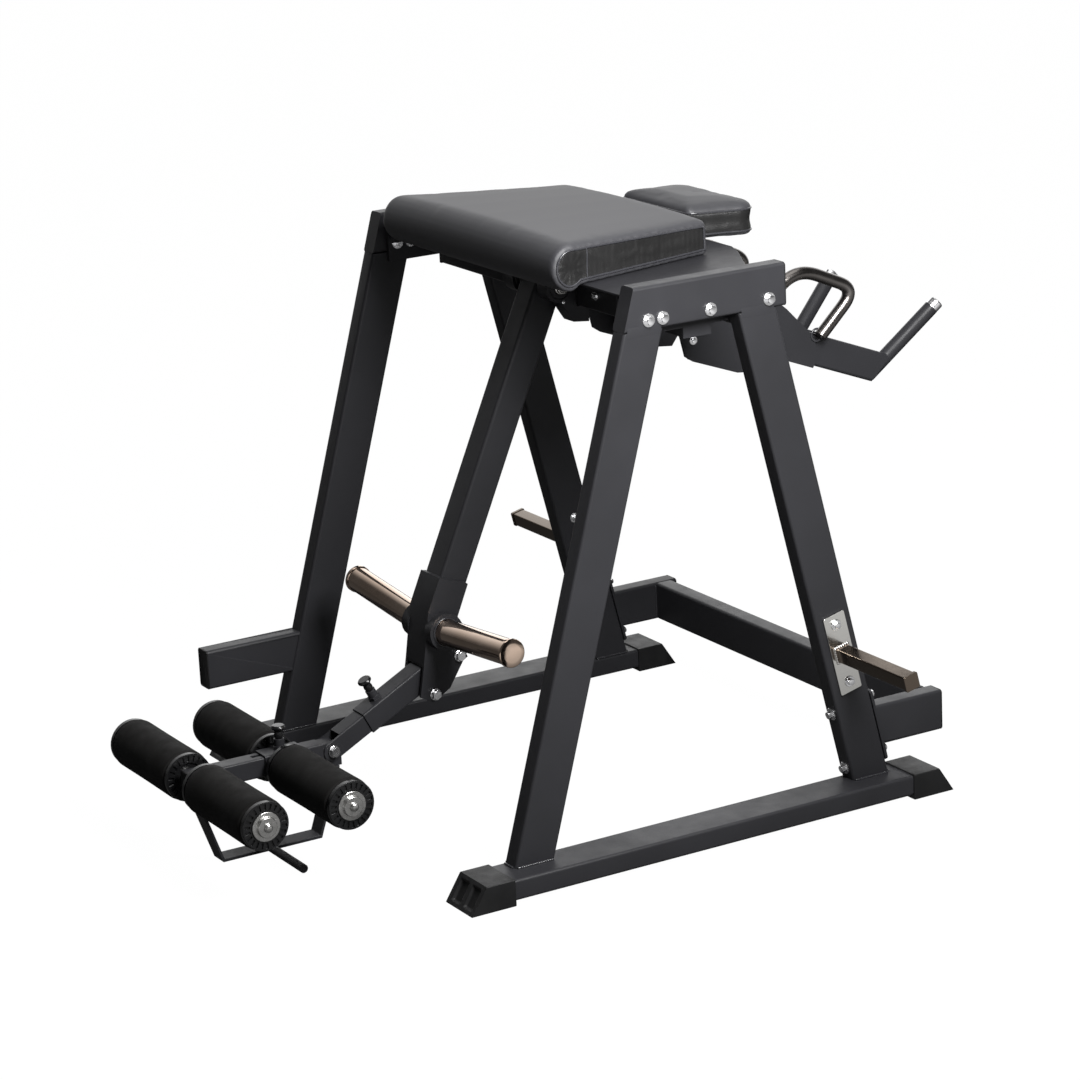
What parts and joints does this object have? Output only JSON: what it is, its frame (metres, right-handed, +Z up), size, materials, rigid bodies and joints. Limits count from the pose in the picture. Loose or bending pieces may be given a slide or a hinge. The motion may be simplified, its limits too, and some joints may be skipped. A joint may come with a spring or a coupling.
{
  "type": "reverse hyper machine",
  "caption": "Reverse hyper machine with two side frames, a padded table, a head pad, adjustable handles, and a weight pendulum that carries a foam roller carriage.",
  "frame": {"origin": "centre of the bounding box at the floor", "axes": "+X to the right of a user who lies face down, +Y towards the user's head, +Z up"},
  "size_m": [1.424, 1.6376, 1.1325],
  "materials": {
    "frame_paint": "satin black powder coat",
    "foot_plastic": "matt black moulded plastic",
    "pad_leather": "soft satin black",
    "polished_chrome": "polished",
    "brushed_tube": "brushed",
    "zinc_cap": "satin",
    "zinc_bolt": "zinc plated",
    "nickel_axle": "nickel plated",
    "knob_plastic": "satin black",
    "hub_plastic": "satin black",
    "roller_foam": "matt black foam"
  },
  "bodies": {
    "frame": {"right_base_tube": "frame_paint", "left_base_tube": "frame_paint", "right_front_leg": "frame_paint", "left_front_leg": "frame_paint", "right_rear_leg": "frame_paint", "left_rear_leg": "frame_paint", "right_top_tube": "frame_paint", "left_top_tube": "frame_paint", "right_front_foot": "foot_plastic", "left_front_foot": "foot_plastic", "right_rear_foot": "foot_plastic", "left_rear_foot": "foot_plastic", "rear_cross_tube": "frame_paint", "right_rear_stub": "frame_paint", "left_rear_stub": "frame_paint", "front_cross_beam": "frame_paint", "rear_cross_beam": "frame_paint", "table_plate": "frame_paint", "main_pad": "pad_leather", "head_pad": "pad_leather", "right_storage_peg": "polished_chrome", "left_storage_peg": "polished_chrome", "right_handle_bracket": "frame_paint", "left_handle_bracket": "frame_paint", "right_loop_handle": "brushed_tube", "left_loop_handle": "brushed_tube", "right_bearing_block": "frame_paint", "left_bearing_block": "frame_paint", "right_pivot_bearing": "zinc_bolt", "left_pivot_bearing": "zinc_bolt"},
    "pendulum": {"pendulum_arm": "frame_paint", "pivot_shaft": "zinc_bolt", "weight_bracket": "frame_paint", "right_weight_horn": "polished_chrome", "left_weight_horn": "polished_chrome", "bracket_upper_bolt": "zinc_bolt", "bracket_lower_bolt": "zinc_bolt", "lower_arm_tube": "frame_paint"},
    "lower_arm": {"lower_arm_slide": "frame_paint", "carriage_pivot_bolt": "zinc_bolt"},
    "lower_pin": {"lower_arm_pin": "knob_plastic"},
    "carriage": {"carriage_tube": "frame_paint", "foot_strap": "frame_paint", "front_axle": "nickel_axle"},
    "rear_sleeve": {"rear_roller_sleeve": "frame_paint", "right_rear_axle": "nickel_axle", "left_rear_axle": "nickel_axle"},
    "sleeve_pull_pin": {"sleeve_pin": "knob_plastic"},
    "right_front_roller": {"right_front_roller_hub": "hub_plastic", "right_front_roller_foam": "roller_foam"},
    "left_front_roller": {"left_front_roller_hub": "hub_plastic", "left_front_roller_foam": "roller_foam"},
    "right_rear_roller": {"right_rear_roller_hub": "hub_plastic", "right_rear_roller_foam": "roller_foam"},
    "left_rear_roller": {"left_rear_roller_hub": "hub_plastic", "left_rear_roller_foam": "roller_foam"},
    "right_handle": {"right_handle_arm": "frame_paint", "right_grip_cap": "zinc_cap"},
    "left_handle": {"left_handle_arm": "frame_paint", "left_grip_cap": "zinc_cap"}
  },
  "joints": [
    {"name": "pendulum_swing", "type": "hinge", "parent": "frame", "child": "pendulum", "pos_m": [0, 0.00944, 0.992], "axis": [-1, 0, 0], "range_deg": [0, 74]},
    {"name": "lower_arm_adjust", "type": "slide", "parent": "pendulum", "child": "lower_arm", "axis": [0, -0.8904, -0.4551], "range_m": [-0.025, 0.075]},
    {"name": "lower_pin_pull", "type": "slide", "parent": "pendulum", "child": "lower_pin", "axis": [0, -0.4551, 0.8904], "range_m": [0, 0.01], "stiffness_N_per_m": 500, "springref_m": -0.004},
    {"name": "carriage_pivot", "type": "hinge", "parent": "lower_arm", "child": "carriage", "pos_m": [0, -0.49456, 0.1655], "axis": [-1, 0, 0], "range_deg": [-45, 45]},
    {"name": "rear_roller_adjust", "type": "slide", "parent": "carriage", "child": "rear_sleeve", "axis": [0, -1, 0], "range_m": [-0.02, 0.045]},
    {"name": "sleeve_pin_pull", "type": "slide", "parent": "rear_sleeve", "child": "sleeve_pull_pin", "axis": [0, 0, 1], "range_m": [0, 0.01], "stiffness_N_per_m": 500, "springref_m": -0.004},
    {"name": "right_front_roller_spin", "type": "hinge", "parent": "carriage", "child": "right_front_roller", "pos_m": [0, -0.77026, 0.16], "axis": [1, 0, 0], "continuous": true},
    {"name": "left_front_roller_spin", "type": "hinge", "parent": "carriage", "child": "left_front_roller", "pos_m": [0, -0.77026, 0.16], "axis": [1, 0, 0], "continuous": true},
    {"name": "right_rear_roller_spin", "type": "hinge", "parent": "rear_sleeve", "child": "right_rear_roller", "pos_m": [0, -0.59706, 0.16], "axis": [1, 0, 0], "continuous": true},
    {"name": "left_rear_roller_spin", "type": "hinge", "parent": "rear_sleeve", "child": "left_rear_roller", "pos_m": [0, -0.59706, 0.16], "axis": [1, 0, 0], "continuous": true},
    {"name": "right_handle_adjust", "type": "slide", "parent": "frame", "child": "right_handle", "axis": [0, 0.9304, -0.3665], "range_m": [-0.03, 0.1]},
    {"name": "left_handle_adjust", "type": "slide", "parent": "frame", "child": "left_handle", "axis": [0, 0.9304, -0.3665], "range_m": [-0.03, 0.1]}
  ]
}
